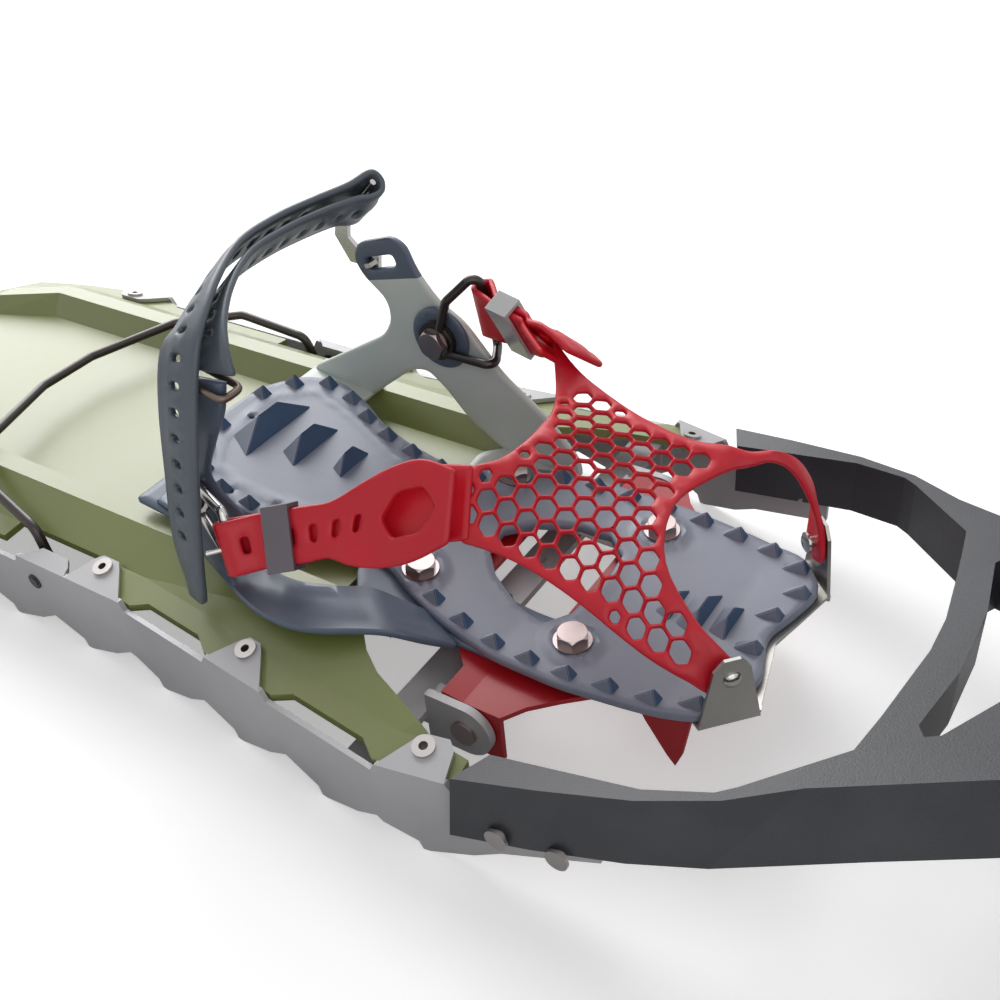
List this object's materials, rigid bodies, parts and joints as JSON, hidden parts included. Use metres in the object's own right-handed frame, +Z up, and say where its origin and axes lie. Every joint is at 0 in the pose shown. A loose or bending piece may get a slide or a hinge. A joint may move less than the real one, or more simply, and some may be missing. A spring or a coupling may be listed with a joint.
{
  "type": "snowshoe",
  "caption": "Right-foot trail snowshoe: moulded deck on steel rails, hinged toe crampon, strap binding and fold-up heel lift.",
  "frame": {"origin": "middle of the length and width, on the plane of the rail teeth tips", "axes": "+X to the toe, +Y to the inner side of the right foot, +Z up"},
  "size_m": [0.635, 0.2104, 0.1519],
  "materials": {
    "deck": "moulded, fine grain",
    "rail": "satin",
    "rivet": "satin",
    "nose": "moulded, fine grain",
    "bolt": "turned",
    "bail": "satin black",
    "bush": "satin",
    "harness": "soft, slightly glossy",
    "wing_pale": "soft, slightly glossy",
    "crampon": "gloss powder coat",
    "loop_steel": "polished",
    "mesh": "soft, satin",
    "keeper_pale": "gloss",
    "keeper_dark": "gloss",
    "heel_strap": "soft, satin"
  },
  "bodies": {
    "frame": {"deck": "deck", "rail_left": "rail", "rail_right": "rail", "deck_rivets": "rivet", "nose_frame": "nose", "nose_rivets": "rivet", "cross_member": "rail", "hinge_bracket_left": "rail", "hinge_bracket_right": "rail", "hinge_pin_left": "bolt", "hinge_pin_right": "bolt", "bail_bushes": "bush"},
    "heel_lift": {"heel_lift_bail": "bail"},
    "binding": {"foot_bed": "harness", "crampon": "crampon", "toe_plate": "rail", "wing_left": "wing_pale", "wing_right": "harness", "binding_bolts": "bolt", "binding_nuts": "bolt", "wing_bolt_left": "bolt", "wing_bolt_right": "bolt", "strap_loop_left": "bail", "strap_loop_right": "loop_steel", "forefoot_mesh": "mesh", "ear_stud_left": "rivet", "ear_stud_right": "rivet", "heel_strap": "heel_strap", "heel_buckle": "loop_steel"},
    "keeper_near": {"keeper_right": "keeper_dark"},
    "keeper_far": {"keeper_left": "keeper_pale"},
    "prong": {"strap_prong": "loop_steel"},
    "hook": {"heel_hook": "loop_steel"}
  },
  "joints": [
    {"name": "binding_pivot", "type": "hinge", "parent": "frame", "child": "binding", "pos_m": [0.082, 0, 0.023], "axis": [0, 1, 0], "range_deg": [0, 80]},
    {"name": "heel_lift_hinge", "type": "hinge", "parent": "frame", "child": "heel_lift", "pos_m": [-0.105, 0, 0.0255], "axis": [0, 1, 0], "range_deg": [0, 95]},
    {"name": "keeper_near_slide", "type": "slide", "parent": "binding", "child": "keeper_near", "axis": [0.8885, 0.3952, 0.2334], "range_m": [0, 0.004]},
    {"name": "keeper_far_slide", "type": "slide", "parent": "binding", "child": "keeper_far", "axis": [0.9787, -0.1931, -0.0693], "range_m": [0, 0.004]},
    {"name": "prong_hinge", "type": "hinge", "parent": "binding", "child": "prong", "pos_m": [-0.0106, -0.0695, 0.0634], "axis": [-0.4273, 0.2719, 0.8623], "range_deg": [0, 45]},
    {"name": "heel_hook_hinge", "type": "hinge", "parent": "binding", "child": "hook", "pos_m": [-0.0362, 0.051, 0.137], "axis": [0.7071, 0, 0.7071], "range_deg": [0, 60]}
  ]
}
